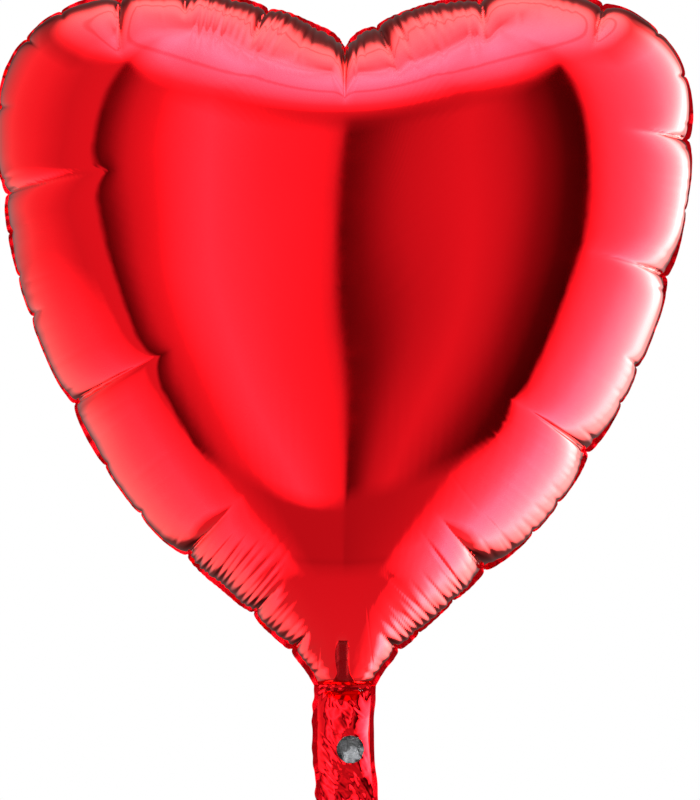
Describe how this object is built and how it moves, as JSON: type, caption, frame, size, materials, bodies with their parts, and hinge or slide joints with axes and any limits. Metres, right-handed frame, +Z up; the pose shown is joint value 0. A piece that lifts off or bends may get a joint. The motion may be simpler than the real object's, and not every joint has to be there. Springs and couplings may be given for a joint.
{
  "type": "foil balloon",
  "caption": "Inflated heart-shaped foil balloon with a gathered sealed rim, a flat filling neck with a fill hole, a tail and an inner self-closing film valve.",
  "frame": {"origin": "middle of the neck's root, where the balloon is tied", "axes": "+Z up the heart's centre line from the neck to the cleft, +X to the heart's right as seen from the front, and the front panel faces -Y"},
  "size_m": [0.3765, 0.172, 0.4714],
  "materials": {
    "red_foil": "polished",
    "sealed_foil": "polished",
    "valve_film": "gloss"
  },
  "bodies": {
    "heart": {"front_panel": "red_foil", "back_panel": "red_foil", "rim_seal": "sealed_foil", "valve_sleeve_back": "valve_film"},
    "valve_flap": {"valve_sleeve_front": "valve_film"},
    "neck": {"neck_front": "red_foil", "neck_back": "red_foil", "neck_seal_left": "sealed_foil", "neck_seal_right": "sealed_foil", "valve_inlet_front": "valve_film", "valve_inlet_back": "valve_film"},
    "tail": {"tail_front": "red_foil", "tail_back": "red_foil", "tail_seal_left": "sealed_foil", "tail_seal_right": "sealed_foil"}
  },
  "joints": [
    {"name": "neck_bend", "type": "hinge", "parent": "heart", "child": "neck", "pos_m": [0, 0, -0.0015], "axis": [1, 0, 0], "range_deg": [-80, 80]},
    {"name": "tail_bend", "type": "hinge", "parent": "neck", "child": "tail", "pos_m": [0, 0, -0.0525], "axis": [1, 0, 0], "range_deg": [-80, 80]},
    {"name": "valve_open", "type": "hinge", "parent": "heart", "child": "valve_flap", "pos_m": [0, -0.0005, 0], "axis": [1, 0, 0], "range_deg": [0, 8], "stiffness_Nm_per_rad": 0.0005}
  ]
}
